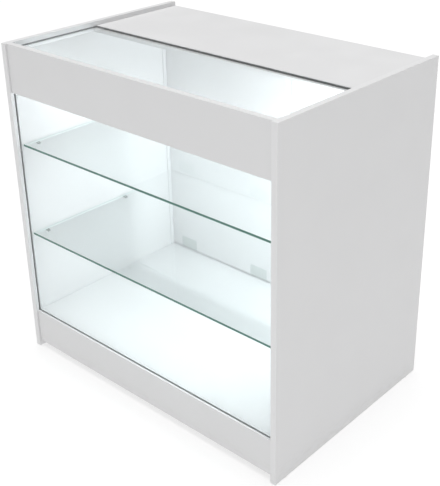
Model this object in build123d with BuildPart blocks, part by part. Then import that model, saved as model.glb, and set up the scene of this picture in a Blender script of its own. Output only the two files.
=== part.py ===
from build123d import *
import os

# Shop display counter in millimetres. The origin is the middle of the footprint on the floor,
# +X runs to the customer's right, +Y from the customer's side to the keeper's side, +Z up.

os.makedirs("parts", exist_ok=True)

# Overall sizes of the case
counter_width = 900
counter_depth = 600
counter_height = 900
board = 16
edge_radius = 0.8
glide_height = 3

# Levels of the fixed boards
floor_level = 120
fascia_height = 130
front_setback = 5
plinth_clearance = 20
top_board_recess = 12
top_opening_depth = 277
rear_plinth_setback = 14

# Glass and its seats
front_glass_thickness = 5
top_glass_thickness = 5
shelf_thickness = 6
glass_edge_radius = 0.6
side_groove_depth = 6
plinth_groove_depth = 8
fascia_groove_depth = 10
top_groove_depth = 6
glass_lift_play = 3
glass_end_play = 0.5
glass_face_play = 0.3
top_rebate_width = 10
top_glass_drop = 1

# Shelves and their pins
lower_shelf_level = 358
upper_shelf_level = 619
shelf_depth = 380
shelf_front_gap = 4.5
shelf_side_gap = 2
pin_row_inset = 46
pin_stem_radius = 2.5
pin_stem_length = 10
pin_flange_radius = 5.5
pin_flange_thickness = 1.5
pin_tongue_length = 12
pin_tongue_width = 8
pin_tongue_thickness = 3
pin_pad_thickness = 1
pin_pad_margin = 1
pin_fit = 0.1

# Sliding doors: the left one runs in the inner lane, the right one in the outer lane
door_setback = 14
lane_gap = 4
door_side_gap = 2
door_half_overlap = 31
door_bottom_gap = 3.7
door_top_gap = 7
jamb_bead_width = 13
jamb_bead_thickness = 3
running_gap = 0.3

# Bottom track, wheels and their housings
track_strip_thickness = 1.5
track_side_margin = 0
track_end_gap = 0.5
bead_width = 2
bead_height = 1.6
wheel_radius = 9
wheel_width = 5
wheel_groove_depth = 1.5
wheel_groove_width = 2.8
wheel_bore_play = 0.05
axle_radius = 1.5
wheel_side_gap = 0.5
wheel_rim_gap = 0.8

# Top track and its guide pins
guide_side_gap = 0.5
top_channel_wall = 1.5
top_channel_edge_gap = 1
guide_pin_radius = 2.5
guide_pin_play = 0.1
guide_pin_below_web = 0.5
guide_pin_length = 24
guide_pin_travel = 6
guide_knob_width = 3
guide_knob_recess = 0.3
guide_slot_play = 0.25
spring_play = 0.3
guide_floor_wall = 4.6
spring_wall = 0.6
spring_end_gap = 0.2

# Fittings let into the doors
fitting_width = 64
fitting_height = 36
fitting_corner = 3
fitting_plate = 2
fitting_block_width = 44
fitting_back_wall = 1.5
fitting_play = 0.15
fitting_outer_inset = 70
fitting_meeting_inset = 103
fitting_window_width = 9
fitting_window_depth = 0.9
fitting_window_offset = 14.5
fitting_window_margin = 6
fitting_screw_offset = 27

# Finger cups
cup_radius = 17.5
cup_depth = 10
cup_wall = 1
cup_lip = 2.5
cup_inset = 45
handle_level = 495

# Push lock in the right door, and its socket in the left door
lock_inset = 16
lock_body_radius = 9
lock_body_back_gap = 0.5
lock_flange_lip = 2.5
lock_flange_thickness = 1.5
lock_plunger_radius = 6
lock_nose_radius = 4
lock_nose_recess = 0.3
lock_lip = 2
lock_stroke = 3.4
lock_head_proud = 7.5
lock_core_radius = 3.5
lock_core_length = 12
lock_fit = 0.1
key_slot_width = 1.2
key_slot_height = 4.6
key_slot_depth = 6
socket_play = 0.6
socket_wall = 1.9
socket_length = 11
socket_recess = 0.3

# Knock-down fasteners
cam_radius = 7.4
cam_fit = 0.1
cam_past_middle = 4.8
cam_recess = 0.3
cam_end_play = 0.3
cam_centre_inset = 24
cam_pocket_play = 0.3
cam_cross_length = 8
cam_cross_width = 1.6
cam_cross_depth = 2.5
bolt_thread_radius = 2.4
bolt_thread_length = 10.5
bolt_fit = 0.1
bolt_end_play = 0.5
bolt_neck_radius = 2.2
bolt_past_centre = 0.5
bolt_head_radius = 3.2
bolt_head_length = 3
bolt_passage_play = 0.3
cap_overlap = 1
cap_thickness = 1.2
cap_edge = 0.5
dowel_radius = 4
dowel_fit = 0.1
dowel_panel_depth = 11
dowel_board_depth = 19
dowel_end_play = 0.5
dowel_edge = 0.8
joint_end_inset = 50
dowel_step = 32
plinth_dowel_step = 24

# Angle brackets between the plinths and the base panel
bracket_count = 3
bracket_leg = 22
bracket_width = 18
bracket_wall = 2.5
bracket_screw_reach = 14

# Screws and floor glides
screw_radius = 1.5
screw_head_radius = 3
screw_head_height = 1.6
screw_length = 11
screw_fit = 0.1
screw_slot_width = 0.8
screw_slot_length = 3.4
screw_slot_depth = 0.7
track_screw_count = 5
track_screw_end_inset = 40
glide_radius = 7
glide_edge = 1.2
glide_nail_radius = 1
glide_nail_length = 12
glide_end_inset = 40

# Places worked out from the sizes above
left = -1
right = 1
inner_x = counter_width / 2 - board
panel_mid_x = counter_width / 2 - board / 2
front_y = -counter_depth / 2
rear_y = counter_depth / 2
board_front_y = front_y + front_setback
board_mid_y = board_front_y + board / 2
board_back_y = board_front_y + board
fascia_bottom = counter_height - fascia_height
base_mid_z = floor_level - board / 2
base_bottom = floor_level - board
top_level = counter_height - top_board_recess
top_mid_z = top_level - board / 2
top_underside = top_level - board
top_board_front = board_back_y + top_opening_depth
rear_plinth_y = rear_y - rear_plinth_setback - board
front_glass_y = board_mid_y
front_glass_bottom = floor_level - plinth_groove_depth
front_glass_top = fascia_bottom + fascia_groove_depth - glass_lift_play
front_slot = front_glass_thickness + 2 * glass_face_play
glass_edge_x = inner_x + side_groove_depth - glass_end_play
top_glass_level = top_level - top_glass_drop
top_glass_bottom = top_glass_level - top_glass_thickness
top_slot_height = top_glass_thickness + glass_face_play
shelf_front_y = front_glass_y + front_glass_thickness / 2 + shelf_front_gap
shelf_rear_y = shelf_front_y + shelf_depth
pin_rows = [shelf_front_y + pin_row_inset, shelf_rear_y - pin_row_inset]
outer_lane_y = rear_y - door_setback - board
inner_lane_y = outer_lane_y - lane_gap - board
lane_face_y = {left: inner_lane_y, right: outer_lane_y}
lane_mid_y = {side: face + board / 2 for side, face in lane_face_y.items()}
door_bottom = floor_level + door_bottom_gap
door_top = top_underside - door_top_gap
door_outer_x = inner_x - door_side_gap
track_front_y = inner_lane_y - track_side_margin
track_back_y = outer_lane_y + board + track_side_margin
track_mid_y = (track_front_y + track_back_y) / 2
strip_top = floor_level + track_strip_thickness
bead_top = strip_top + bead_height
axle_z = bead_top + running_gap + wheel_radius - wheel_groove_depth
top_channel_width = 2 * (guide_pin_radius + guide_side_gap)
channel_bottom = door_top + top_channel_edge_gap
channel_web_bottom = top_underside - top_channel_wall
pin_top_z = channel_web_bottom - guide_pin_below_web
wheel_slot_width = wheel_width + 2 * wheel_side_gap
fitting_depth = board / 2 + wheel_slot_width / 2 + fitting_back_wall
bottom_fitting_z = door_bottom + fitting_height / 2
top_fitting_z = door_top - fitting_height / 2
fitting_reach = {
    "outer": door_outer_x - fitting_outer_inset,
    "meeting": fitting_meeting_inset - door_half_overlap,
}
lock_x = -door_half_overlap + lock_inset
lock_face_y = outer_lane_y + board
socket_bore_radius = lock_nose_radius + socket_play
socket_radius = socket_bore_radius + socket_wall
lock_inner_y = outer_lane_y + lock_body_back_gap
cam_hole_radius = cam_radius + cam_fit
cam_hole_depth = board / 2 + cam_past_middle
cam_body_height = cam_hole_depth - cam_recess - cam_end_play
cam_pocket = 2 * (bolt_head_radius + cam_pocket_play)
bolt_neck_length = cam_centre_inset + bolt_past_centre - bolt_head_length
glide_rows = [front_y + glide_end_inset, rear_y - glide_end_inset]

pieces = {}


def spread(low, high, count):
    """Evenly spaced places from low to high."""
    return [low + (high - low) * step / (count - 1) for step in range(count)]


def slab(low, high, radius=edge_radius):
    """Fill the space between two corners with a board, its edges eased by the radius."""
    with BuildSketch(Plane.XY.offset(low[2])) as outline:
        with Locations(((low[0] + high[0]) / 2, (low[1] + high[1]) / 2)):
            Rectangle(high[0] - low[0], high[1] - low[1])
    board_solid = extrude(outline.sketch, amount=high[2] - low[2])
    fillet(board_solid.edges(), radius)


def cut_slab(low, high):
    """Cut away the space between two corners."""
    centre = tuple((a + b) / 2 for a, b in zip(low, high))
    with Locations(centre):
        Box(*(b - a for a, b in zip(low, high)), mode=Mode.SUBTRACT)


def wall_plane(side, y, z):
    """Plane on a side panel's inner face whose normal points into the case."""
    return Plane(origin=(side * inner_x, y, z), x_dir=(0, 1, 0), z_dir=(-side, 0, 0))


def cam_plane(side, y, z, facing):
    """Plane on the board face that a cam is let into, with its local X towards the panel."""
    centre = Vector(side * (inner_x - cam_centre_inset), y, z) + Vector(*facing) * (board / 2)
    return Plane(origin=centre, x_dir=(side, 0, 0), z_dir=facing)


# Each joint of a board end with the side panels: its cams and dowels by place, and where cams face
below = (0, 0, -1)
behind = (0, 1, 0)
ahead = (0, -1, 0)

base_rows = spread(board_back_y + joint_end_inset, rear_y - joint_end_inset, 3)
top_rows = spread(top_board_front + joint_end_inset, inner_lane_y - joint_end_inset, 2)
fascia_mid_z = fascia_bottom + fascia_height / 2
front_plinth_mid_z = (plinth_clearance + front_glass_bottom) / 2
rear_plinth_mid_z = (plinth_clearance + base_bottom) / 2
rear_plinth_mid_y = rear_plinth_y + board / 2

end_joints = {
    "base": {
        "facing": below,
        "cams": [(y, base_mid_z) for y in base_rows],
        "dowels": [(base_rows[0] + dowel_step, base_mid_z), (base_rows[-1] - dowel_step, base_mid_z)],
    },
    "top": {
        "facing": below,
        "cams": [(y, top_mid_z) for y in top_rows],
        "dowels": [(top_rows[0] + dowel_step, top_mid_z), (top_rows[-1] - dowel_step, top_mid_z)],
    },
    "fascia": {
        "facing": behind,
        "cams": [(board_mid_y, fascia_mid_z)],
        "dowels": [(board_mid_y, fascia_mid_z + way * dowel_step) for way in (-1, 1)],
    },
    "front_plinth": {
        "facing": behind,
        "cams": [(board_mid_y, front_plinth_mid_z)],
        "dowels": [(board_mid_y, front_plinth_mid_z + way * plinth_dowel_step) for way in (-1, 1)],
    },
    "rear_plinth": {
        "facing": ahead,
        "cams": [(rear_plinth_mid_y, rear_plinth_mid_z)],
        "dowels": [(rear_plinth_mid_y, rear_plinth_mid_z + way * plinth_dowel_step) for way in (-1, 1)],
    },
}

# Where the angle brackets sit, in frames whose local Y points away from the plinth
bracket_xs = spread(-inner_x / 2, inner_x / 2, bracket_count)
front_bracket_planes = [Plane(origin=(x, board_back_y, base_bottom), x_dir=(1, 0, 0)) for x in bracket_xs]
rear_bracket_planes = [Plane(origin=(x, rear_plinth_y, base_bottom), x_dir=(-1, 0, 0)) for x in bracket_xs]
bracket_planes = front_bracket_planes + rear_bracket_planes
plinth_screw_place = Plane(origin=(0, bracket_wall, -bracket_screw_reach), z_dir=(0, 1, 0)).location
base_screw_place = Plane(origin=(0, bracket_screw_reach, -bracket_wall), z_dir=(0, 0, -1)).location


def drill_board_ends(joint_name):
    """Drill a board's two ends for its cams, bolts and dowels."""
    joint = end_joints[joint_name]
    for side in (left, right):
        for y, z in joint["cams"]:
            with Locations(cam_plane(side, y, z, joint["facing"])):
                Hole(cam_hole_radius, cam_hole_depth)
            with Locations(Plane(origin=(side * inner_x, y, z), z_dir=(side, 0, 0))):
                Hole(bolt_head_radius + bolt_passage_play, cam_centre_inset)
        for y, z in joint["dowels"]:
            with Locations(Plane(origin=(side * inner_x, y, z), z_dir=(side, 0, 0))):
                Hole(dowel_radius + dowel_fit, dowel_board_depth + dowel_end_play)


def side_panel(side):
    """One full-height end panel with every hole and groove that its neighbours need."""
    outer_x = side * counter_width / 2
    face_x = side * inner_x
    low_x, high_x = sorted((outer_x, face_x))
    groove_low, groove_high = sorted((face_x, face_x + side * side_groove_depth))
    with BuildPart() as panel:
        slab((low_x, front_y, glide_height), (high_x, rear_y, counter_height))
        cut_slab(
            (groove_low, front_glass_y - front_slot / 2, front_glass_bottom),
            (groove_high, front_glass_y + front_slot / 2, fascia_bottom + fascia_groove_depth),
        )
        cut_slab(
            (groove_low, board_back_y - top_groove_depth, top_glass_bottom),
            (groove_high, top_board_front, top_glass_bottom + top_slot_height),
        )
        for joint in end_joints.values():
            with Locations(*(wall_plane(side, y, z) for y, z in joint["cams"])):
                Hole(bolt_thread_radius + bolt_fit, bolt_thread_length + bolt_end_play)
            with Locations(*(wall_plane(side, y, z) for y, z in joint["dowels"])):
                Hole(dowel_radius + dowel_fit, dowel_panel_depth + dowel_end_play)
        with Locations(*(pin_plane(side, y, level) for level in shelf_levels for y in pin_rows)):
            Hole(pin_stem_radius + pin_fit, pin_stem_length + pin_fit)
        with Locations(*(glide_plane(side, y) for y in glide_rows)):
            Hole(glide_nail_radius + screw_fit, glide_nail_length + screw_fit)
    return panel


def pin_plane(side, y, level):
    """Plane on a side panel at the height of a shelf pin's stem."""
    return wall_plane(side, y, level - pin_pad_thickness - pin_tongue_thickness / 2)


def glide_plane(side, y):
    """Plane under a side panel's foot, looking down."""
    return Plane(origin=(side * panel_mid_x, y, glide_height), z_dir=(0, 0, -1))


shelf_levels = (lower_shelf_level, upper_shelf_level)
pieces["left_side_panel"] = side_panel(left)
pieces["right_side_panel"] = side_panel(right)

# The fascia across the top of the front, grooved for both panes
with BuildPart() as front_fascia:
    slab((-inner_x, board_front_y, fascia_bottom), (inner_x, board_back_y, counter_height))
    cut_slab(
        (-inner_x, front_glass_y - front_slot / 2, fascia_bottom),
        (inner_x, front_glass_y + front_slot / 2, fascia_bottom + fascia_groove_depth),
    )
    cut_slab(
        (-inner_x, board_back_y - top_groove_depth, top_glass_bottom),
        (inner_x, board_back_y, top_glass_bottom + top_slot_height),
    )
    drill_board_ends("fascia")
pieces["front_fascia"] = front_fascia

# The front plinth, whose top edge holds the foot of the front pane
with BuildPart() as front_plinth:
    slab((-inner_x, board_front_y, plinth_clearance), (inner_x, board_back_y, floor_level))
    cut_slab(
        (-inner_x, front_glass_y - front_slot / 2, front_glass_bottom),
        (inner_x, front_glass_y + front_slot / 2, floor_level),
    )
    drill_board_ends("front_plinth")
    with Locations(*(plane * plinth_screw_place for plane in front_bracket_planes)):
        Hole(screw_radius + screw_fit, screw_length + screw_fit)
pieces["front_plinth"] = front_plinth

# The rear plinth carries the base under the door tracks
with BuildPart() as rear_plinth:
    slab((-inner_x, rear_plinth_y, plinth_clearance), (inner_x, rear_plinth_y + board, base_bottom))
    drill_board_ends("rear_plinth")
    with Locations(*(plane * plinth_screw_place for plane in rear_bracket_planes)):
        Hole(screw_radius + screw_fit, screw_length + screw_fit)
pieces["rear_plinth"] = rear_plinth

# The base panel is the floor of the display
with BuildPart() as base_panel:
    slab((-inner_x, board_back_y, base_bottom), (inner_x, rear_y, floor_level))
    drill_board_ends("base")
    with Locations(*(plane * base_screw_place for plane in bracket_planes)):
        Hole(screw_radius + screw_fit, screw_length + screw_fit)
    track_screw_xs = spread(
        -inner_x + track_screw_end_inset, inner_x - track_screw_end_inset, track_screw_count
    )
    with Locations(*((x, track_mid_y, floor_level) for x in track_screw_xs)):
        Hole(screw_radius + screw_fit, screw_length)
pieces["base_panel"] = base_panel

# The top board over the keeper's half, rebated in front to carry the top pane
with BuildPart() as top_board:
    slab(
        (-inner_x, top_board_front - top_rebate_width, top_underside),
        (inner_x, rear_y, top_level),
    )
    cut_slab(
        (-inner_x, top_board_front - top_rebate_width, top_glass_bottom),
        (inner_x, top_board_front, top_level),
    )
    drill_board_ends("top")
    with Locations(
        *(Plane(origin=(x, track_mid_y, top_underside), z_dir=below) for x in track_screw_xs)
    ):
        Hole(screw_radius + screw_fit, screw_length)
pieces["top_board"] = top_board

# The front pane stands in the plinth and reaches up into the fascia
with BuildPart() as front_glass:
    slab(
        (-glass_edge_x, front_glass_y - front_glass_thickness / 2, front_glass_bottom),
        (glass_edge_x, front_glass_y + front_glass_thickness / 2, front_glass_top),
        glass_edge_radius,
    )
pieces["front_glass"] = front_glass

# The top pane lies in grooves on three sides and on the top board's rebate behind
with BuildPart() as top_glass:
    slab(
        (-glass_edge_x, board_back_y - top_groove_depth + glass_end_play, top_glass_bottom),
        (glass_edge_x, top_board_front - glass_end_play, top_glass_level),
        glass_edge_radius,
    )
pieces["top_glass"] = top_glass


def glass_shelf(level):
    """A loose glass shelf whose underside is at the level."""
    reach = inner_x - shelf_side_gap
    with BuildPart() as shelf:
        slab(
            (-reach, shelf_front_y, level),
            (reach, shelf_rear_y, level + shelf_thickness),
            glass_edge_radius,
        )
    return shelf


pieces["lower_shelf"] = glass_shelf(lower_shelf_level)
pieces["upper_shelf"] = glass_shelf(upper_shelf_level)

# One shelf pin along +Z: stem in the wall, round flange, flat tongue under the glass
with BuildPart() as pin:
    Cylinder(pin_stem_radius, pin_stem_length, align=(Align.CENTER, Align.CENTER, Align.MAX))
    Cylinder(pin_flange_radius, pin_flange_thickness, align=(Align.CENTER, Align.CENTER, Align.MIN))
    Box(
        pin_tongue_width,
        pin_tongue_thickness,
        pin_tongue_length,
        align=(Align.CENTER, Align.CENTER, Align.MIN),
    )
    # The flange is cut off level with the tongue, so that the glass passes over it
    with Locations((0, pin_tongue_thickness / 2, 0)):
        Box(
            2 * pin_flange_radius,
            pin_flange_radius,
            pin_flange_thickness,
            align=(Align.CENTER, Align.MIN, Align.MIN),
            mode=Mode.SUBTRACT,
        )
    tongue_end = pin.faces().sort_by(Axis.Z)[-1]
    fillet(tongue_end.edges().filter_by(Axis.Y), pin_tongue_width / 4)

# One soft pad that lies on a pin's tongue
with BuildPart() as pad:
    pad_length = pin_tongue_length - pin_flange_thickness - 2 * pin_pad_margin
    with Locations((0, pin_tongue_thickness / 2, pin_flange_thickness + pin_pad_margin)):
        Box(
            pin_tongue_width - 2 * pin_pad_margin,
            pin_pad_thickness,
            pad_length,
            align=(Align.CENTER, Align.MIN, Align.MIN),
        )


def upright_pin_plane(side, y, level):
    """Frame of a shelf pin: local Z into the case, local Y up."""
    base = pin_plane(side, y, level)
    return Plane(origin=base.origin, x_dir=(0, side, 0), z_dir=(-side, 0, 0))


for shelf_name, level in (("lower", lower_shelf_level), ("upper", upper_shelf_level)):
    pin_places = [upright_pin_plane(side, y, level) for side in (left, right) for y in pin_rows]
    with BuildPart() as shelf_pins:
        with Locations(*pin_places):
            add(pin.part)
    with BuildPart() as pin_pads:
        with Locations(*pin_places):
            add(pad.part)
    pieces[f"{shelf_name}_shelf_pins"] = shelf_pins
    pieces[f"{shelf_name}_shelf_pads"] = pin_pads

# The bottom track: a strip on the floor with one rounded rail per lane
with BuildPart() as bottom_track:
    slab(
        (-inner_x + track_end_gap, track_front_y, floor_level),
        (inner_x - track_end_gap, track_back_y, strip_top),
        track_strip_thickness / 4,
    )
    for side in (left, right):
        with BuildSketch(Plane.YZ.offset(-inner_x + track_end_gap)):
            with Locations((lane_mid_y[side], strip_top + bead_height / 4)):
                Rectangle(bead_width, bead_height / 2)
            with Locations((lane_mid_y[side], bead_top - bead_width / 2)):
                Circle(bead_width / 2)
        extrude(amount=2 * (inner_x - track_end_gap))
    with Locations(*((x, track_mid_y, strip_top) for x in track_screw_xs)):
        CounterSinkHole(screw_radius + screw_fit, screw_head_radius + screw_fit)
pieces["bottom_track"] = bottom_track

# The top track: two channels that open downwards, one for each door's guide pins
with BuildPart() as top_track:
    track_ends = inner_x - track_end_gap
    outer_reach = top_channel_width / 2 + top_channel_wall
    with BuildSketch(Plane.YZ.offset(-track_ends)):
        with BuildLine():
            front_edge = lane_mid_y[left] - outer_reach
            back_edge = lane_mid_y[right] + outer_reach
            Polyline(
                (front_edge, channel_bottom),
                (front_edge, top_underside),
                (back_edge, top_underside),
                (back_edge, channel_bottom),
                close=True,
            )
        make_face()
        middle_gap = lane_mid_y[right] - lane_mid_y[left] - 2 * outer_reach
        lane_centre = (channel_bottom + channel_web_bottom) / 2
        channel_height = channel_web_bottom - channel_bottom
        with Locations(*((lane_mid_y[side], lane_centre) for side in (left, right))):
            Rectangle(top_channel_width, channel_height, mode=Mode.SUBTRACT)
        with Locations((track_mid_y, lane_centre)):
            Rectangle(middle_gap, channel_height, mode=Mode.SUBTRACT)
    extrude(amount=2 * track_ends)
    with Locations(
        *(Plane(origin=(x, track_mid_y, channel_web_bottom), z_dir=below) for x in track_screw_xs)
    ):
        CounterSinkHole(screw_radius + screw_fit, screw_head_radius + screw_fit)
pieces["top_track"] = top_track


def jamb_bead(side):
    """The thin upright bead that hides the gap between the inner lane and a side panel."""
    low_x, high_x = sorted((side * inner_x, side * (inner_x - jamb_bead_thickness)))
    bead_back = inner_lane_y - running_gap
    with BuildPart() as bead:
        slab((low_x, bead_back - jamb_bead_width, floor_level), (high_x, bead_back, top_underside))
    return bead


pieces["left_jamb_bead"] = jamb_bead(left)
pieces["right_jamb_bead"] = jamb_bead(right)

# One screw along +Z: its countersunk head's face is at the origin
with BuildPart() as screw:
    with BuildSketch(Plane.XZ):
        with BuildLine():
            Polyline(
                (0, 0),
                (screw_head_radius, 0),
                (screw_radius, -screw_head_height),
                (screw_radius, -screw_length + 2 * screw_radius),
                (0, -screw_length),
                close=True,
            )
        make_face()
    revolve(axis=Axis.Z)
    with Locations((0, 0, -screw_slot_depth / 2)):
        Box(screw_slot_length, screw_slot_width, screw_slot_depth, mode=Mode.SUBTRACT)
        Box(screw_slot_width, screw_slot_length, screw_slot_depth, mode=Mode.SUBTRACT)

with BuildPart() as track_screws:
    with Locations(*((x, track_mid_y, strip_top) for x in track_screw_xs)):
        add(screw.part)
    with Locations(
        *(Plane(origin=(x, track_mid_y, channel_web_bottom), z_dir=below) for x in track_screw_xs)
    ):
        add(screw.part)
pieces["track_screws"] = track_screws


def door_span(side):
    """Low and high X of a door at rest."""
    return sorted((side * door_outer_x, -side * door_half_overlap))


def fitting_plane(side, place, z):
    """Plane on a door's inner face at a fitting's centre, with local Y up."""
    return Plane(
        origin=(side * fitting_reach[place], lane_face_y[side], z), x_dir=(1, 0, 0), z_dir=ahead
    )


def fitting_outline(play=0.0):
    """Rounded outline of a fitting's face plate."""
    RectangleRounded(fitting_width + 2 * play, fitting_height + 2 * play, fitting_corner + play)


def cut_fitting_seat(plane):
    """Mortise in a door for one fitting: a shallow seat for the plate and a pocket for the block."""
    with BuildSketch(plane) as plate_seat:
        fitting_outline(fitting_play)
    extrude(plate_seat.sketch, amount=-fitting_plate, mode=Mode.SUBTRACT)
    with BuildSketch(plane) as block_seat:
        Rectangle(fitting_block_width + 2 * fitting_play, fitting_height + 2 * fitting_play)
    extrude(block_seat.sketch, amount=-fitting_depth - fitting_play, mode=Mode.SUBTRACT)
    with Locations(*(plane * Location((way * fitting_screw_offset, 0, 0)) for way in (-1, 1))):
        Hole(screw_radius + screw_fit, screw_length + screw_fit)


def door(side):
    """One sliding door with its mortises, its finger-cup hole and its lock hole."""
    low_x, high_x = door_span(side)
    face_y = lane_face_y[side]
    outer_face_y = face_y + board
    cup_plane = Plane(
        origin=(side * (door_outer_x - cup_inset), outer_face_y, handle_level), z_dir=behind
    )
    with BuildPart() as leaf:
        slab((low_x, face_y, door_bottom), (high_x, outer_face_y, door_top))
        for place in fitting_reach:
            cut_fitting_seat(fitting_plane(side, place, bottom_fitting_z))
            cut_fitting_seat(fitting_plane(side, place, top_fitting_z))
        with Locations(cup_plane):
            Hole(cup_radius + fitting_play, cup_depth + fitting_play)
        with Locations(Plane(origin=(lock_x, outer_face_y, handle_level), z_dir=behind)):
            if side == right:
                Hole(lock_body_radius + lock_fit, board)
            else:
                Hole(socket_radius + lock_fit, socket_length + socket_recess + lock_fit)
    return leaf


def fitting_block():
    """Face plate and block shared by the roller and the guide housings, in the fitting's frame."""
    with BuildSketch() as plate:
        fitting_outline()
    extrude(plate.sketch, amount=-fitting_plate)
    with BuildSketch(Plane.XY.offset(-fitting_plate)) as block:
        Rectangle(fitting_block_width, fitting_height)
    extrude(block.sketch, amount=-fitting_depth + fitting_plate)
    # A shallow window each side of the middle
    with BuildSketch() as windows:
        with Locations(*((way * fitting_window_offset, 0) for way in (-1, 1))):
            Rectangle(fitting_window_width, fitting_height - 2 * fitting_window_margin)
    extrude(windows.sketch, amount=-fitting_window_depth, mode=Mode.SUBTRACT)
    with Locations(*((way * fitting_screw_offset, 0, 0) for way in (-1, 1))):
        CounterSinkHole(screw_radius + screw_fit, screw_head_radius + screw_fit)


# Roller housing in its own frame: the slot for the wheel opens at the lower edge
axle_drop = axle_z - bottom_fitting_z
axle_depth = -board / 2
wheel_slot_top = axle_drop + wheel_radius + wheel_rim_gap
with BuildPart() as roller_housing:
    fitting_block()
    slot_height = wheel_slot_top + fitting_height / 2
    with Locations((0, -fitting_height / 2, axle_depth)):
        Box(
            2 * (wheel_radius + wheel_rim_gap),
            slot_height,
            wheel_slot_width,
            align=(Align.CENTER, Align.MIN, Align.CENTER),
            mode=Mode.SUBTRACT,
        )
    with Locations((0, axle_drop, -fitting_window_depth)):
        Hole(axle_radius, fitting_depth)

# Wheel and axle in the same frame
with BuildPart() as wheel:
    with BuildSketch(Plane.XZ):
        with BuildLine():
            half_width = wheel_width / 2
            half_groove = wheel_groove_width / 2
            bore = axle_radius + wheel_bore_play
            Polyline(
                (bore, -half_width),
                (wheel_radius, -half_width),
                (wheel_radius, -half_groove),
                (wheel_radius - wheel_groove_depth, -half_groove),
                (wheel_radius - wheel_groove_depth, half_groove),
                (wheel_radius, half_groove),
                (wheel_radius, half_width),
                (bore, half_width),
                close=True,
            )
        make_face()
    revolve(axis=Axis.Z)

with BuildPart() as axle:
    with BuildSketch():
        Circle(axle_radius)
    extrude(amount=-(fitting_depth - fitting_window_depth - 2 * fitting_play))

# Guide housing in its own frame: the bore for pin and spring opens at the upper edge
pin_top_local = pin_top_z - top_fitting_z
pin_bottom_local = pin_top_local - guide_pin_length
bore_bottom_local = guide_floor_wall - fitting_height / 2
spring_bottom_local = bore_bottom_local + spring_end_gap
spring_length = pin_bottom_local - spring_end_gap - spring_bottom_local
guide_bore_radius = guide_pin_radius + guide_pin_play
spring_radius = guide_bore_radius - spring_play
knob_local = pin_bottom_local + guide_pin_travel + guide_knob_width
with BuildPart() as guide_housing:
    fitting_block()
    with Locations(Plane(origin=(0, fitting_height / 2, axle_depth), z_dir=behind)):
        Hole(guide_bore_radius, fitting_height / 2 - bore_bottom_local)
    with BuildSketch():
        with Locations((0, knob_local - guide_pin_travel / 2)):
            Rectangle(
                guide_knob_width + 2 * guide_slot_play,
                guide_knob_width + guide_pin_travel + 2 * guide_slot_play,
            )
    extrude(amount=axle_depth, mode=Mode.SUBTRACT)

# Guide pin with the small knob that a thumb pulls down to free the door
with BuildPart() as guide_pin:
    with BuildSketch(Plane(origin=(0, pin_bottom_local, axle_depth), z_dir=behind)):
        Circle(guide_pin_radius)
    extrude(amount=guide_pin_length)
    chamfer(guide_pin.edges().sort_by(Axis.Y)[-1], guide_pin_radius / 4)
    knob_height = -axle_depth - guide_knob_recess
    with Locations((0, knob_local, axle_depth)):
        Box(
            guide_knob_width,
            guide_knob_width,
            knob_height,
            align=(Align.CENTER, Align.CENTER, Align.MIN),
        )

# The closed coil under each guide pin, drawn as a sleeve of the same outline
with BuildPart() as guide_spring:
    with BuildSketch(Plane(origin=(0, spring_bottom_local, axle_depth), z_dir=behind)):
        Circle(spring_radius)
        Circle(spring_radius - spring_wall, mode=Mode.SUBTRACT)
    extrude(amount=spring_length)

# Finger cup in its own frame, its lip on the door's outer face
with BuildPart() as cup:
    Cylinder(cup_radius, cup_depth, align=(Align.CENTER, Align.CENTER, Align.MAX))
    Cylinder(cup_radius + cup_lip, cup_wall, align=(Align.CENTER, Align.CENTER, Align.MIN))
    with Locations((0, 0, cup_wall)):
        Hole(cup_radius - cup_wall, cup_depth)
    fillet(cup.edges().group_by(Axis.Z)[-1], cup_wall / 3)


def placed(source, plane):
    """A copy of a finished piece moved into a plane's frame, as its own part."""
    with BuildPart() as copy:
        with Locations(plane):
            add(source.part)
    return copy


for side, side_name in ((left, "left"), (right, "right")):
    pieces[f"{side_name}_door"] = door(side)
    bottom_planes = {place: fitting_plane(side, place, bottom_fitting_z) for place in fitting_reach}
    top_planes = {place: fitting_plane(side, place, top_fitting_z) for place in fitting_reach}
    for place in fitting_reach:
        name = f"{side_name}_door_{place}"
        axle_plane = bottom_planes[place] * Location((0, axle_drop, 0))
        wheel_plane = axle_plane * Location((0, 0, axle_depth))
        pin_frame = top_planes[place]
        pieces[f"{name}_roller_housing"] = placed(roller_housing, bottom_planes[place])
        pieces[f"{name}_wheel"] = placed(wheel, wheel_plane)
        pieces[f"{name}_guide_housing"] = placed(guide_housing, pin_frame)
        pieces[f"{name}_guide_pin"] = placed(guide_pin, pin_frame)
        pieces[f"{name}_guide_spring"] = placed(guide_spring, pin_frame)
    with BuildPart() as axles:
        shallow = Location((0, axle_drop, -fitting_window_depth - fitting_play))
        with Locations(*(plane * shallow for plane in bottom_planes.values())):
            add(axle.part)
    pieces[f"{side_name}_door_axles"] = axles
    with BuildPart() as fitting_screws:
        all_planes = [*bottom_planes.values(), *top_planes.values()]
        for way in (-1, 1):
            with Locations(*(plane * Location((way * fitting_screw_offset, 0, 0)) for plane in all_planes)):
                add(screw.part)
    pieces[f"{side_name}_door_screws"] = fitting_screws
    cup_origin = (side * (door_outer_x - cup_inset), lane_face_y[side] + board, handle_level)
    pieces[f"{side_name}_door_finger_cup"] = placed(cup, Plane(origin=cup_origin, z_dir=behind))

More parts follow.
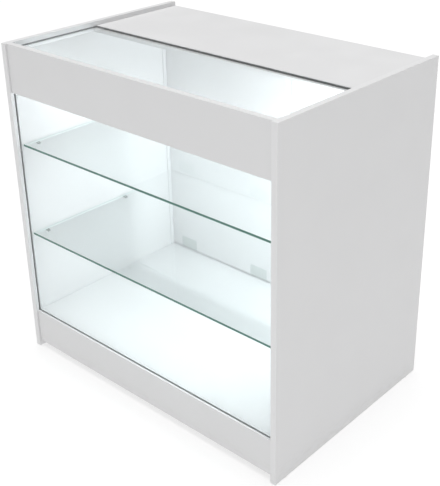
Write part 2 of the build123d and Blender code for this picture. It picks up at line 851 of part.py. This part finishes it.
# Lock body: a flanged sleeve through the right door with an inner lip that stops the plunger
with BuildPart() as lock_body:
    with BuildSketch(Plane(origin=(lock_x, lock_inner_y, handle_level), z_dir=behind)):
        Circle(lock_body_radius)
    extrude(amount=lock_face_y - lock_inner_y)
    with BuildSketch(Plane(origin=(lock_x, lock_face_y, handle_level), z_dir=behind)):
        Circle(lock_body_radius + lock_flange_lip)
    extrude(amount=lock_flange_thickness)
    fillet(lock_body.edges().group_by(Axis.Y)[-1], lock_flange_thickness / 3)
    flange_face_y = lock_face_y + lock_flange_thickness
    with Locations(Plane(origin=(lock_x, flange_face_y, handle_level), z_dir=behind)):
        Hole(lock_plunger_radius + lock_fit, flange_face_y - lock_inner_y - lock_lip)
        Hole(lock_nose_radius + lock_fit, flange_face_y - lock_inner_y)
pieces["lock_body"] = lock_body

# Plunger: pushed in by hand, its nose crosses the gap towards the left door's socket
plunger_shoulder_y = lock_inner_y + lock_lip + lock_stroke + lock_fit
nose_tip_y = lock_inner_y + lock_nose_recess
plunger_head_y = flange_face_y + lock_head_proud
with BuildPart() as lock_plunger:
    with BuildSketch(Plane(origin=(lock_x, plunger_shoulder_y, handle_level), z_dir=behind)):
        Circle(lock_plunger_radius)
    extrude(amount=plunger_head_y - plunger_shoulder_y)
    fillet(lock_plunger.edges().group_by(Axis.Y)[-1], lock_flange_thickness / 3)
    with BuildSketch(Plane(origin=(lock_x, nose_tip_y, handle_level), z_dir=behind)):
        Circle(lock_nose_radius)
    extrude(amount=plunger_shoulder_y - nose_tip_y)
    with Locations(Plane(origin=(lock_x, plunger_head_y, handle_level), z_dir=behind)):
        Hole(lock_core_radius + lock_fit / 2, lock_core_length)
pieces["lock_plunger"] = lock_plunger

# Key core, flush with the plunger's head, with an upright key slot
with BuildPart() as lock_core:
    with BuildSketch(Plane(origin=(lock_x, plunger_head_y, handle_level), z_dir=behind)):
        Circle(lock_core_radius)
    extrude(amount=-lock_core_length)
    with Locations((lock_x, plunger_head_y - key_slot_depth / 2, handle_level)):
        Box(key_slot_width, key_slot_depth, key_slot_height, mode=Mode.SUBTRACT)
pieces["lock_core"] = lock_core

# Socket in the left door's outer face that the plunger points at
with BuildPart() as lock_socket:
    socket_face_y = inner_lane_y + board - socket_recess
    with BuildSketch(Plane(origin=(lock_x, socket_face_y, handle_level), z_dir=ahead)):
        Circle(socket_radius)
        Circle(socket_bore_radius, mode=Mode.SUBTRACT)
    extrude(amount=socket_length)
pieces["lock_socket"] = lock_socket

# One cam in its own frame: local X points at the bolt, the drive cross is on top
with BuildPart() as cam:
    with BuildSketch(Plane.XY.offset(-cam_recess)):
        Circle(cam_radius)
    extrude(amount=-cam_body_height)
    with Locations((0, 0, -board / 2)):
        Box(
            cam_radius + cam_pocket / 2,
            cam_pocket,
            cam_pocket,
            align=(Align.CENTER, Align.CENTER, Align.CENTER),
            mode=Mode.SUBTRACT,
        )
    with Locations((cam_radius, 0, -board / 2)):
        Box(cam_radius, cam_pocket, cam_pocket, mode=Mode.SUBTRACT)
    with Locations((0, 0, -cam_recess - cam_cross_depth / 2)):
        Box(cam_cross_length, cam_cross_width, cam_cross_depth, mode=Mode.SUBTRACT)
        Box(cam_cross_width, cam_cross_length, cam_cross_depth, mode=Mode.SUBTRACT)

# One cam bolt along +Z from the panel's face: thread, neck and head
with BuildPart() as bolt:
    Cylinder(bolt_thread_radius, bolt_thread_length, align=(Align.CENTER, Align.CENTER, Align.MAX))
    Cylinder(bolt_neck_radius, bolt_neck_length, align=(Align.CENTER, Align.CENTER, Align.MIN))
    with Locations((0, 0, bolt_neck_length)):
        Cylinder(bolt_head_radius, bolt_head_length, align=(Align.CENTER, Align.CENTER, Align.MIN))

# One beech dowel along +Z, centred on the joint face
with BuildPart() as dowel:
    dowel_length = dowel_panel_depth + dowel_board_depth
    with Locations((0, 0, -dowel_panel_depth)):
        Cylinder(dowel_radius, dowel_length, align=(Align.CENTER, Align.CENTER, Align.MIN))
    chamfer(dowel.edges().filter_by(GeomType.CIRCLE), dowel_edge)

# One cap that hides a cam, its thin disc lying on the board
with BuildPart() as cap:
    Cylinder(
        cam_hole_radius + cap_overlap,
        cap_thickness,
        align=(Align.CENTER, Align.CENTER, Align.MIN),
    )
    chamfer(cap.edges().group_by(Axis.Z)[-1], cap_edge)

joint_sides = [(joint, side) for joint in end_joints.values() for side in (left, right)]
cam_planes = [
    cam_plane(side, y, z, joint["facing"]) for joint, side in joint_sides for y, z in joint["cams"]
]
bolt_planes = [wall_plane(side, y, z) for joint, side in joint_sides for y, z in joint["cams"]]
dowel_planes = [wall_plane(side, y, z) for joint, side in joint_sides for y, z in joint["dowels"]]
capped_planes = [
    cam_plane(side, y, z, end_joints[name]["facing"])
    for name in ("top", "fascia")
    for side in (left, right)
    for y, z in end_joints[name]["cams"]
]

with BuildPart() as cam_locks:
    with Locations(*cam_planes):
        add(cam.part)
pieces["cam_locks"] = cam_locks

with BuildPart() as cam_bolts:
    with Locations(*bolt_planes):
        add(bolt.part)
pieces["cam_bolts"] = cam_bolts

with BuildPart() as cam_caps:
    with Locations(*capped_planes):
        add(cap.part)
pieces["cam_caps"] = cam_caps

with BuildPart() as dowels:
    with Locations(*dowel_planes):
        add(dowel.part)
pieces["dowels"] = dowels

# One angle bracket in its own frame: local X along it, Y away from the plinth, Z up
with BuildPart() as bracket:
    with BuildSketch(Plane.YZ):
        with BuildLine():
            Polyline(
                (0, 0),
                (bracket_leg, 0),
                (bracket_leg, -bracket_wall),
                (bracket_wall, -bracket_wall),
                (bracket_wall, -bracket_leg),
                (0, -bracket_leg),
                close=True,
            )
        make_face()
    extrude(amount=bracket_width / 2, both=True)
    # Two gussets stiffen the corner at its ends
    with BuildSketch(Plane.YZ):
        with BuildLine():
            Polyline(
                (bracket_wall, -bracket_wall),
                (bracket_leg, -bracket_wall),
                (bracket_wall, -bracket_leg),
                close=True,
            )
        make_face()
    extrude(amount=bracket_width / 2, both=True)
    with BuildSketch(Plane.YZ):
        with BuildLine():
            Polyline(
                (bracket_wall, -bracket_wall),
                (bracket_leg, -bracket_wall),
                (bracket_leg, -bracket_leg),
                (bracket_wall, -bracket_leg),
                close=True,
            )
        make_face()
    extrude(amount=bracket_width / 2 - bracket_wall, both=True, mode=Mode.SUBTRACT)
    with Locations(plinth_screw_place, base_screw_place):
        CounterSinkHole(screw_radius + screw_fit, screw_head_radius + screw_fit)

with BuildPart() as plinth_brackets:
    with Locations(*bracket_planes):
        add(bracket.part)
pieces["plinth_brackets"] = plinth_brackets

with BuildPart() as bracket_screws:
    for screw_place in (plinth_screw_place, base_screw_place):
        with Locations(*(plane * screw_place for plane in bracket_planes)):
            add(screw.part)
pieces["bracket_screws"] = bracket_screws

# Nail-on glides under the side panels
with BuildPart() as glide:
    Cylinder(glide_radius, glide_height, align=(Align.CENTER, Align.CENTER, Align.MIN))
    fillet(glide.edges().group_by(Axis.Z)[-1], glide_edge)
    Cylinder(glide_nail_radius, glide_nail_length, align=(Align.CENTER, Align.CENTER, Align.MAX))

with BuildPart() as floor_glides:
    with Locations(*(glide_plane(side, y) for side in (left, right) for y in glide_rows)):
        add(glide.part)
pieces["floor_glides"] = floor_glides

for name, piece in pieces.items():
    piece.part.label = name
    export_step(piece.part, f"parts/{name}.step")
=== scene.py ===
import math

import bmesh
import bpy
from mathutils import Matrix, Vector


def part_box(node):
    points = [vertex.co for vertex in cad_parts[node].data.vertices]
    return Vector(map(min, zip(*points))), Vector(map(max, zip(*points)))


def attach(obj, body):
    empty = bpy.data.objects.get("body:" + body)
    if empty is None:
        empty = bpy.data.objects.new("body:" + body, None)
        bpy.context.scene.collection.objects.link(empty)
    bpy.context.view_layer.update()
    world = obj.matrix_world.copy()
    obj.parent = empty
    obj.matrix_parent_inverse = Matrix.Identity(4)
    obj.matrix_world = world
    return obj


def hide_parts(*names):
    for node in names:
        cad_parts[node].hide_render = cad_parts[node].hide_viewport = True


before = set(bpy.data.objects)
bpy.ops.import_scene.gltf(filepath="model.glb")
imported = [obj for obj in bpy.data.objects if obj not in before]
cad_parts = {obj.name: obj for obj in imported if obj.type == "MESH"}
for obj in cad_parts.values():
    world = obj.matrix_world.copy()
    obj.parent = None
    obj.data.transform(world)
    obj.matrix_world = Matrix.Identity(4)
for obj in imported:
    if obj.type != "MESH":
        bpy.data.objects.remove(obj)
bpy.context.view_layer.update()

MM = 0.001

# The camera solved from the counter's visible corners and long edges, in the photograph's pixels
PHOTO_WIDTH = 440
PHOTO_HEIGHT = 486
CAMERA_AZIMUTH = 41.5550
CAMERA_ELEVATION = 24.5659
CAMERA_ROLL = -0.5489
CAMERA_PLACE = (1.512591, -1.595815, 1.521372)
FOCAL_PIXELS = 925.75
OPTICAL_CENTRE = (244.82, 191.54)
SENSOR = 36.0

# Light of the studio
STUDIO_WHITE = (1.0, 1.0, 1.0)
SKY_STRENGTH = 0.35
SUN_STRENGTH = 2.3
SUN_ANGLE = 45.0
FRONT_LIGHT_PLACE = (2.0, -2.6, 1.4)
FRONT_LIGHT_SIZE = 1.4
FRONT_LIGHT_POWER = 9.0

# Light inside the display: place, direction, width and height, watts
BAY_COLOUR = (0.93, 0.985, 1.0)
BAY_LIGHTS = {
    "front_bay_light": ((0.0, -0.276, 0.39), (0, 1, 0), (0.80, 0.50), 0.42),
    "middle_bay_light": ((0.0, 0.06, 0.42), (0, 1, 0), (0.74, 0.56), 0.85),
    "rear_bay_light": ((0.0, 0.22, 0.42), (0, -1, 0), (0.50, 0.56), 0.2),
    "top_front_light": ((0.0, -0.25, 0.80), (0, 1, 0.25), (0.80, 0.10), 0.6),
    "top_rear_light": ((0.0, 0.10, 0.862), (0, 0, -1), (0.82, 0.24), 0.10),
    "side_rear_light": ((0.42, 0.10, 0.54), (-1, 0, 0), (0.26, 0.54), 1.25),
    "side_top_light": ((0.42, 0.13, 0.75), (-1, 0, 0), (0.20, 0.16), 2.5),
    "side_front_light": ((0.42, -0.12, 0.81), (-1, 0, 0), (0.26, 0.10), 0.9),
}

# Studio floor
FLOOR_SIZE = 40.0
FLOOR_GREY = 0.42
FLOOR_GLOW = 0.58
FLOOR_ROUGHNESS = 0.9

# Finish of the boards, with shades as shares of their white
BOARD_WHITE = (0.775, 0.775, 0.78)
BAND_THICKNESS = 1.0 * MM
SEAM_WIDTH = 0.16 * MM
PAPER_SHADES = (0.985, 1.012)
BAND_SHADES = (1.03, 1.05)
SPECK_SHADE = 0.72
SPECK_SHARE = 0.035
SEAM_SHADE = 0.45
SEAM_SHARE = 0.35
FOOT_HEIGHT = 70.0 * MM
FOOT_GRIME = 0.22
GRIME_COLOUR = (0.52, 0.50, 0.47)
BOARD_ROUGHNESS = (0.36, 0.46)
BAND_POLISH = 0.08
PEARL_DEPTH = 0.08 * MM
SEAM_DEPTH = 0.12 * MM
PLASTIC_IOR = 1.5

# Glass
GLASS_IOR = 1.5
GLASS_MIRROR_GAIN = 1.8
GLASS_ARRIS = 0.6 * MM
GLASS_BEVEL_STEPS = 2
GLASS_SHRINK = 0.05 * MM
HAZE_SHARE = 0.02
FILM_COLOUR = (0.86, 0.90, 0.90)
EDGE_ROUGHNESS = 0.16
EDGE_SHINE = 0.12
BROAD_FACE = 0.999
FRONT_FACE = -0.3


class Shader:
    """A material's node tree, with short calls for adding and linking its nodes."""

    def __init__(self, name):
        self.material = bpy.data.materials.new(name)
        self.material.use_nodes = True
        self.tree = self.material.node_tree
        self.tree.nodes.clear()
        self.output = self.tree.nodes.new("ShaderNodeOutputMaterial")

    def feed(self, socket, value):
        """Link a socket into an input, or set the input to a plain value."""
        if isinstance(value, bpy.types.NodeSocket):
            self.tree.links.new(value, socket)
        else:
            socket.default_value = value

    def add(self, kind, inputs=None, **settings):
        """Add a node, set its options, and feed its inputs by name or number."""
        node = self.tree.nodes.new("ShaderNode" + kind)
        for key, value in settings.items():
            setattr(node, key, value)
        for key, value in (inputs or {}).items():
            self.feed(node.inputs[key], value)
        return node

    def place(self, stretch=(1.0, 1.0, 1.0)):
        """Position on the piece in metres, stretched along its axes."""
        where = self.add("TexCoord").outputs["Object"]
        return self.add("Mapping", {"Vector": where, "Scale": stretch}).outputs[0]

    def noise(self, scale, detail=2.0, stretch=(1.0, 1.0, 1.0), roughness=0.5):
        """Soft noise from 0 to 1 with so many features a metre."""
        inputs = {
            "Vector": self.place(stretch),
            "Scale": scale,
            "Detail": detail,
            "Roughness": roughness,
        }
        return self.add("TexNoise", inputs).outputs[0]

    def math(self, operation, *values, clamp=False):
        """A number worked out from up to three numbers."""
        node = self.add("Math", dict(enumerate(values)), operation=operation)
        node.use_clamp = clamp
        return node.outputs[0]

    def ramp(self, value, low, high, to_low=0.0, to_high=1.0):
        """A number moved smoothly from one range to another."""
        inputs = {
            "Value": value,
            "From Min": low,
            "From Max": high,
            "To Min": to_low,
            "To Max": to_high,
        }
        return self.add("MapRange", inputs, interpolation_type="SMOOTHSTEP").outputs[0]

    def blend(self, share, first, second):
        """A colour between two colours."""
        node = self.add("Mix", data_type="RGBA")
        self.feed(node.inputs[0], share)
        for socket, colour in ((node.inputs[6], first), (node.inputs[7], second)):
            linked = isinstance(colour, bpy.types.NodeSocket)
            self.feed(socket, colour if linked else (*colour, 1.0))
        return node.outputs[2]

    def bump(self, height, strength, depth, normal=None):
        """A surface normal bent by a height."""
        inputs = {"Height": height, "Strength": strength, "Distance": depth}
        if normal is not None:
            inputs["Normal"] = normal
        return self.add("Bump", inputs).outputs[0]

    def finish(self, surface):
        """Show a shader and hand back the material."""
        self.feed(self.output.inputs["Surface"], surface)
        return self.material


def shade(colour, factor):
    """A colour made lighter or darker."""
    return tuple(min(1.0, channel * factor) for channel in colour)


def set_material(node, material):
    """Give a whole CAD node one material."""
    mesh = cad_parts[node].data
    mesh.materials.clear()
    mesh.materials.append(material)


# Boards

def edge_distance(shader, low, high, thin_axis):
    """Distance from a board's nearest narrow edge, measured along its broad faces."""
    axes = shader.add("SeparateXYZ", {0: shader.place()})
    nearest = None
    for axis in range(3):
        if axis == thin_axis:
            continue
        to_low = shader.math("SUBTRACT", axes.outputs[axis], low[axis])
        to_high = shader.math("SUBTRACT", high[axis], axes.outputs[axis])
        reach = shader.math("MINIMUM", to_low, to_high)
        nearest = reach if nearest is None else shader.math("MINIMUM", nearest, reach)
    return nearest


def board_colour(shader, band, seam):
    """Specked white paper, plain banding, a dark glue line between them and a grimy foot."""
    cloud = shader.noise(7.0, 3.0)
    speck = shader.noise(1300.0, 1.0)
    paper = shader.blend(cloud, *(shade(BOARD_WHITE, factor) for factor in PAPER_SHADES))
    speck_share = shader.math("MULTIPLY", speck, SPECK_SHARE)
    paper = shader.blend(speck_share, paper, shade(BOARD_WHITE, SPECK_SHADE))
    drift = shader.noise(24.0)
    plastic = shader.blend(drift, *(shade(BOARD_WHITE, factor) for factor in BAND_SHADES))
    colour = shader.blend(band, paper, plastic)
    seam_share = shader.math("MULTIPLY", seam, SEAM_SHARE)
    colour = shader.blend(seam_share, colour, shade(BOARD_WHITE, SEAM_SHADE))

    height = shader.add("SeparateXYZ", {0: shader.place()}).outputs[2]
    foot = shader.ramp(height, 0.0, FOOT_HEIGHT, FOOT_GRIME, 0.0)
    scuffs = shader.noise(42.0, 4.0, (1.0, 1.0, 3.0), 0.65)
    grime = shader.math("MULTIPLY", foot, shader.ramp(scuffs, 0.42, 0.72))
    return shader.blend(grime, colour, GRIME_COLOUR)


def board_material(node):
    """White melamine board with banded edges, a fine pearl texture and light handling marks."""
    low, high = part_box(node)
    sizes = [high[axis] - low[axis] for axis in range(3)]
    thin_axis = sizes.index(min(sizes))
    shader = Shader(node + "_melamine")
    edge = edge_distance(shader, low, high, thin_axis)
    band = shader.ramp(edge, BAND_THICKNESS, BAND_THICKNESS + SEAM_WIDTH, 1.0, 0.0)
    seam_offset = shader.math("ABSOLUTE", shader.math("SUBTRACT", edge, BAND_THICKNESS))
    seam = shader.ramp(seam_offset, 0.0, SEAM_WIDTH, 1.0, 0.0)
    colour = board_colour(shader, band, seam)

    smudge = shader.ramp(shader.noise(11.0, 4.0, roughness=0.6), 0.35, 0.75)
    roughness = shader.ramp(smudge, 0.0, 1.0, *BOARD_ROUGHNESS)
    polish = shader.math("MULTIPLY", band, BAND_POLISH)
    roughness = shader.math("SUBTRACT", roughness, polish)
    pearl = shader.noise(1900.0, 2.0)
    normal = shader.bump(pearl, 0.16, PEARL_DEPTH)
    normal = shader.bump(seam, 0.5, -SEAM_DEPTH, normal)
    inputs = {"Base Color": colour, "Roughness": roughness, "Normal": normal, "IOR": PLASTIC_IOR}
    surface = shader.add("BsdfPrincipled", inputs)
    return shader.finish(surface.outputs[0])


BOARDS = (
    "left_side_panel",
    "right_side_panel",
    "front_fascia",
    "front_plinth",
    "rear_plinth",
    "base_panel",
    "top_board",
    "left_door",
    "right_door",
)
for board_name in BOARDS:
    set_material(board_name, board_material(board_name))


# Moulded, metal and wooden fittings

def moulded_material(name, colour, roughness, grain=900.0, relief=0.06, clear=0.0):
    """Moulded plastic with a faint flow pattern, a fine grain and slightly uneven gloss."""
    shader = Shader(name)
    flow = shader.noise(60.0, 3.0, (1.0, 1.0, 0.4))
    tint = shader.blend(flow, shade(colour, 0.94), shade(colour, 1.04))
    uneven = shader.noise(150.0, 3.0)
    gloss = shader.ramp(uneven, 0.3, 0.7, roughness - 0.05, roughness + 0.07)
    normal = shader.bump(shader.noise(grain, 2.0), 0.2, relief * MM)
    inputs = {
        "Base Color": tint,
        "Roughness": gloss,
        "Normal": normal,
        "Transmission Weight": clear,
        "IOR": PLASTIC_IOR,
    }
    return shader.finish(shader.add("BsdfPrincipled", inputs).outputs[0])


def metal_material(name, colour, roughness, brushing=(1.0, 1.0, 1.0), lines=700.0, relief=0.02):
    """Metal with fine lines along its brushing and slightly dulled patches."""
    shader = Shader(name)
    patches = shader.noise(45.0, 3.0)
    streaks = shader.noise(lines, 3.0, brushing)
    tint = shader.blend(streaks, shade(colour, 0.88), shade(colour, 1.06))
    tint = shader.blend(shader.ramp(patches, 0.5, 0.9, 0.0, 0.35), tint, shade(colour, 0.8))
    dulled = shader.ramp(patches, 0.3, 0.8, roughness, roughness + 0.12)
    normal = shader.bump(streaks, 0.25, relief * MM)
    inputs = {"Base Color": tint, "Roughness": dulled, "Normal": normal, "Metallic": 1.0}
    return shader.finish(shader.add("BsdfPrincipled", inputs).outputs[0])


def beech_material(name):
    """Fluted beech with short darker flecks along the grain."""
    shader = Shader(name)
    flecks = shader.ramp(shader.noise(900.0, 3.0, (0.15, 1.0, 1.0)), 0.45, 0.7)
    rings = shader.noise(160.0, 2.0, (0.1, 1.0, 1.0))
    tint = shader.blend(rings, (0.62, 0.43, 0.25), (0.74, 0.55, 0.34))
    tint = shader.blend(shader.math("MULTIPLY", flecks, 0.5), tint, (0.42, 0.26, 0.13))
    normal = shader.bump(flecks, 0.3, 0.05 * MM)
    inputs = {"Base Color": tint, "Roughness": 0.6, "Normal": normal}
    return shader.finish(shader.add("BsdfPrincipled", inputs).outputs[0])


ALONG_X = (0.03, 1.0, 1.0)

fitting_plastic = moulded_material("fitting_plastic", (0.60, 0.64, 0.63), 0.38)
white_plastic = moulded_material("white_plastic", (0.76, 0.76, 0.77), 0.34)
cup_plastic = moulded_material("cup_plastic", (0.70, 0.70, 0.71), 0.30)
acetal = moulded_material("acetal", (0.66, 0.66, 0.63), 0.26, 1400.0, 0.03)
glide_plastic = moulded_material("glide_plastic", (0.62, 0.61, 0.58), 0.50, 500.0, 0.12)
soft_pad = moulded_material("soft_pad", (0.55, 0.60, 0.60), 0.22, 1600.0, 0.03, 0.5)
pin_plastic = moulded_material("pin_plastic", (0.46, 0.50, 0.49), 0.24, 1600.0, 0.03, 0.25)
aluminium = metal_material("track_aluminium", (0.90, 0.90, 0.91), 0.42, ALONG_X)
zinc_steel = metal_material("zinc_steel", (0.66, 0.67, 0.68), 0.32)
cast_zinc = metal_material("cast_zinc", (0.50, 0.50, 0.51), 0.46, lines=260.0, relief=0.08)
chrome = metal_material("chrome", (0.82, 0.83, 0.84), 0.08, lines=1500.0, relief=0.006)
brass = metal_material("brass", (0.78, 0.62, 0.32), 0.20)
beech = beech_material("beech")

FITTINGS = {
    "left_jamb_bead": white_plastic,
    "right_jamb_bead": white_plastic,
    "cam_caps": white_plastic,
    "plinth_brackets": white_plastic,
    "lower_shelf_pins": pin_plastic,
    "upper_shelf_pins": pin_plastic,
    "lower_shelf_pads": soft_pad,
    "upper_shelf_pads": soft_pad,
    "bottom_track": aluminium,
    "top_track": aluminium,
    "track_screws": zinc_steel,
    "bracket_screws": zinc_steel,
    "cam_bolts": zinc_steel,
    "cam_locks": cast_zinc,
    "dowels": beech,
    "floor_glides": glide_plastic,
    "lock_body": chrome,
    "lock_plunger": chrome,
    "lock_socket": chrome,
    "lock_core": brass,
}
for door in ("left_door", "right_door"):
    FITTINGS[door + "_axles"] = zinc_steel
    FITTINGS[door + "_screws"] = zinc_steel
    FITTINGS[door + "_finger_cup"] = cup_plastic
    for end in ("_outer", "_meeting"):
        FITTINGS[door + end + "_roller_housing"] = fitting_plastic
        FITTINGS[door + end + "_guide_housing"] = fitting_plastic
        FITTINGS[door + end + "_wheel"] = acetal
        FITTINGS[door + end + "_guide_pin"] = acetal
        FITTINGS[door + end + "_guide_spring"] = zinc_steel
for fitting, material in FITTINGS.items():
    set_material(fitting, material)


# Glass

def pane_face_material(name, tint):
    """A clear pane's polished face: what is behind shows through, with a thin wiped haze."""
    shader = Shader(name)
    wiped = shader.noise(9.0, 4.0, (1.0, 1.0, 2.5), 0.6)
    dust = shader.noise(420.0, 2.0)
    haze = shader.math("MULTIPLY", shader.ramp(wiped, 0.45, 0.8), shader.ramp(dust, 0.45, 0.75))
    clear = shader.add("BsdfTransparent", {"Color": (*tint, 1.0)})
    mirror = shader.add("BsdfGlossy", {"Roughness": shader.ramp(wiped, 0.3, 0.8, 0.01, 0.035)})
    film = shader.add("BsdfDiffuse", {"Color": (*FILM_COLOUR, 1.0)})
    # A ray leaves the pane unbent, so its far face mirrors nothing
    fresnel = shader.add("Fresnel", {"IOR": GLASS_IOR}).outputs[0]
    facing = shader.math("SUBTRACT", 1.0, shader.add("NewGeometry").outputs["Backfacing"])
    share = shader.math("MULTIPLY", fresnel, facing)
    share = shader.math("MULTIPLY", share, GLASS_MIRROR_GAIN, clamp=True)
    glass = shader.add("MixShader", {0: share, 1: clear.outputs[0], 2: mirror.outputs[0]})
    veil = shader.math("MULTIPLY", haze, HAZE_SHARE)
    dusty = shader.add("MixShader", {0: veil, 1: glass.outputs[0], 2: film.outputs[0]})
    return shader.finish(dusty.outputs[0])


def pane_edge_material(name, colour):
    """A pane's ground and polished edge, which shows the glass's depth as a colour; a near-black
    colour given to it also paints in shade.
    """
    shader = Shader(name)
    streaks = shader.noise(240.0, 3.0, (1.0, 1.0, 0.2))
    drift = shader.noise(5.0, 2.0)
    tint = shader.blend(streaks, shade(colour, 0.82), shade(colour, 1.18))
    tint = shader.blend(shader.math("MULTIPLY", drift, 0.4), tint, shade(colour, 1.5))
    normal = shader.bump(streaks, 0.2, 0.03 * MM)
    inputs = {
        "Base Color": tint,
        "Roughness": EDGE_ROUGHNESS,
        "Normal": normal,
        "IOR": GLASS_IOR,
        "Specular IOR Level": EDGE_SHINE,
    }
    return shader.finish(shader.add("BsdfPrincipled", inputs).outputs[0])


def glass_pane(node, face_material, front_material, side_material):
    """A pane with arrised edges that fills the CAD node's space."""
    low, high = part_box(node)
    shrink = Vector((GLASS_SHRINK, GLASS_SHRINK, GLASS_SHRINK))
    size = high - low - 2 * shrink
    thin_axis = list(size).index(min(size))
    shape = bmesh.new()
    bmesh.ops.create_cube(shape, size=1.0)
    bmesh.ops.scale(shape, vec=size, verts=shape.verts)
    bmesh.ops.translate(shape, vec=(low + high) / 2, verts=shape.verts)
    bmesh.ops.bevel(
        shape,
        geom=shape.edges[:],
        offset=GLASS_ARRIS,
        segments=GLASS_BEVEL_STEPS,
        profile=0.5,
        affect="EDGES",
    )
    shape.normal_update()
    for face in shape.faces:
        broad = abs(face.normal[thin_axis]) > BROAD_FACE
        front = face.normal.y < FRONT_FACE
        face.material_index = 0 if broad else 1 if front else 2
    mesh = bpy.data.meshes.new(node + "_pane")
    shape.to_mesh(mesh)
    shape.free()
    for material in (face_material, front_material, side_material):
        mesh.materials.append(material)
    pane = bpy.data.objects.new(node + "_pane", mesh)
    bpy.context.scene.collection.objects.link(pane)
    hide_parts(node)
    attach(pane, "case")


pane_face = pane_face_material("pane_face", (0.988, 0.996, 0.997))
shelf_face = pane_face_material("shelf_face", (0.968, 0.986, 0.984))
green_edge = pane_edge_material("green_edge", (0.026, 0.150, 0.108))
pale_edge = pane_edge_material("pale_edge", (0.66, 0.73, 0.72))
# Near-black edges for the front and top panes: the glass's own dark edge tint, with the shade of
# the grooves they stand in painted into the colour
dark_edge_painted_shade = pane_edge_material("dark_edge_painted_shade", (0.012, 0.022, 0.021))

glass_pane("front_glass", pane_face, dark_edge_painted_shade, dark_edge_painted_shade)
glass_pane("top_glass", pane_face, dark_edge_painted_shade, dark_edge_painted_shade)
glass_pane("upper_shelf", shelf_face, green_edge, pale_edge)
glass_pane("lower_shelf", shelf_face, green_edge, pale_edge)


# Studio

def make_floor():
    """A plain pale floor under the counter."""
    shader = Shader("studio_floor")
    grain = shader.noise(3.0, 3.0)
    light_grey = (FLOOR_GREY, FLOOR_GREY, FLOOR_GREY)
    colour = shader.blend(grain, shade(light_grey, 0.99), shade(light_grey, 1.01))
    inputs = {
        "Base Color": colour,
        "Roughness": FLOOR_ROUGHNESS,
        "Emission Color": (*STUDIO_WHITE, 1.0),
        "Emission Strength": FLOOR_GLOW,
    }
    surface = shader.add("BsdfPrincipled", inputs)
    mesh = bpy.data.meshes.new("studio_floor")
    half = FLOOR_SIZE / 2
    corners = [(-half, -half, 0), (half, -half, 0), (half, half, 0), (-half, half, 0)]
    mesh.from_pydata(corners, [], [(0, 1, 2, 3)])
    mesh.materials.append(shader.finish(surface.outputs[0]))
    floor = bpy.data.objects.new("studio_floor", mesh)
    bpy.context.scene.collection.objects.link(floor)


def make_sky():
    """Even light from all round."""
    world = bpy.data.worlds.new("studio_sky")
    world.use_nodes = True
    sky = world.node_tree.nodes["Background"]
    sky.inputs["Color"].default_value = (*STUDIO_WHITE, 1.0)
    sky.inputs["Strength"].default_value = SKY_STRENGTH
    bpy.context.scene.world = world


def make_sun():
    """A broad soft light from straight above."""
    data = bpy.data.lights.new("soft_sun", "SUN")
    data.energy = SUN_STRENGTH
    data.angle = math.radians(SUN_ANGLE)
    sun = bpy.data.objects.new("soft_sun", data)
    bpy.context.scene.collection.objects.link(sun)


def area_light(name, place, aim, size, power, colour):
    """A rectangular soft light that is never seen itself."""
    data = bpy.data.lights.new(name, "AREA")
    data.shape = "RECTANGLE"
    data.size, data.size_y = size
    data.energy = power
    data.color = colour
    light = bpy.data.objects.new(name, data)
    light.location = place
    light.rotation_euler = Vector(aim).to_track_quat("-Z", "Y").to_euler()
    light.visible_camera = False
    light.visible_glossy = False
    light.visible_transmission = False
    bpy.context.scene.collection.objects.link(light)


def make_lights():
    """The lights inside the display, and one soft light from the customer's side."""
    for name, (place, aim, size, power) in BAY_LIGHTS.items():
        area_light(name, place, aim, size, power, BAY_COLOUR)
    to_counter = -Vector(FRONT_LIGHT_PLACE)
    square = (FRONT_LIGHT_SIZE, FRONT_LIGHT_SIZE)
    area_light(
        "front_soft_light",
        FRONT_LIGHT_PLACE,
        to_counter,
        square,
        FRONT_LIGHT_POWER,
        STUDIO_WHITE,
    )


def make_camera():
    """The photograph's camera, from its solved place, direction and focal length."""
    azimuth = math.radians(CAMERA_AZIMUTH)
    elevation = math.radians(CAMERA_ELEVATION)
    roll = math.radians(CAMERA_ROLL)
    back = Vector(
        (
            math.sin(azimuth) * math.cos(elevation),
            -math.cos(azimuth) * math.cos(elevation),
            math.sin(elevation),
        )
    )
    forward = -back
    level_right = forward.cross(Vector((0, 0, 1))).normalized()
    level_up = level_right.cross(forward)
    right = level_right * math.cos(roll) + level_up * math.sin(roll)
    up = -level_right * math.sin(roll) + level_up * math.cos(roll)
    turn = Matrix((right, up, back)).transposed().to_4x4()
    data = bpy.data.cameras.new("photo_camera")
    data.sensor_width = SENSOR
    data.lens = FOCAL_PIXELS / PHOTO_HEIGHT * SENSOR
    data.shift_x = (PHOTO_WIDTH / 2 - OPTICAL_CENTRE[0]) / PHOTO_HEIGHT
    data.shift_y = (OPTICAL_CENTRE[1] - PHOTO_HEIGHT / 2) / PHOTO_HEIGHT
    data.clip_end = 2 * FLOOR_SIZE
    camera = bpy.data.objects.new("photo_camera", data)
    camera.matrix_world = Matrix.Translation(CAMERA_PLACE) @ turn
    bpy.context.scene.collection.objects.link(camera)
    bpy.context.scene.camera = camera


make_floor()
make_sky()
make_sun()
make_lights()
make_camera()

view = bpy.context.scene.view_settings
view.view_transform = "Standard"
view.look = "None"
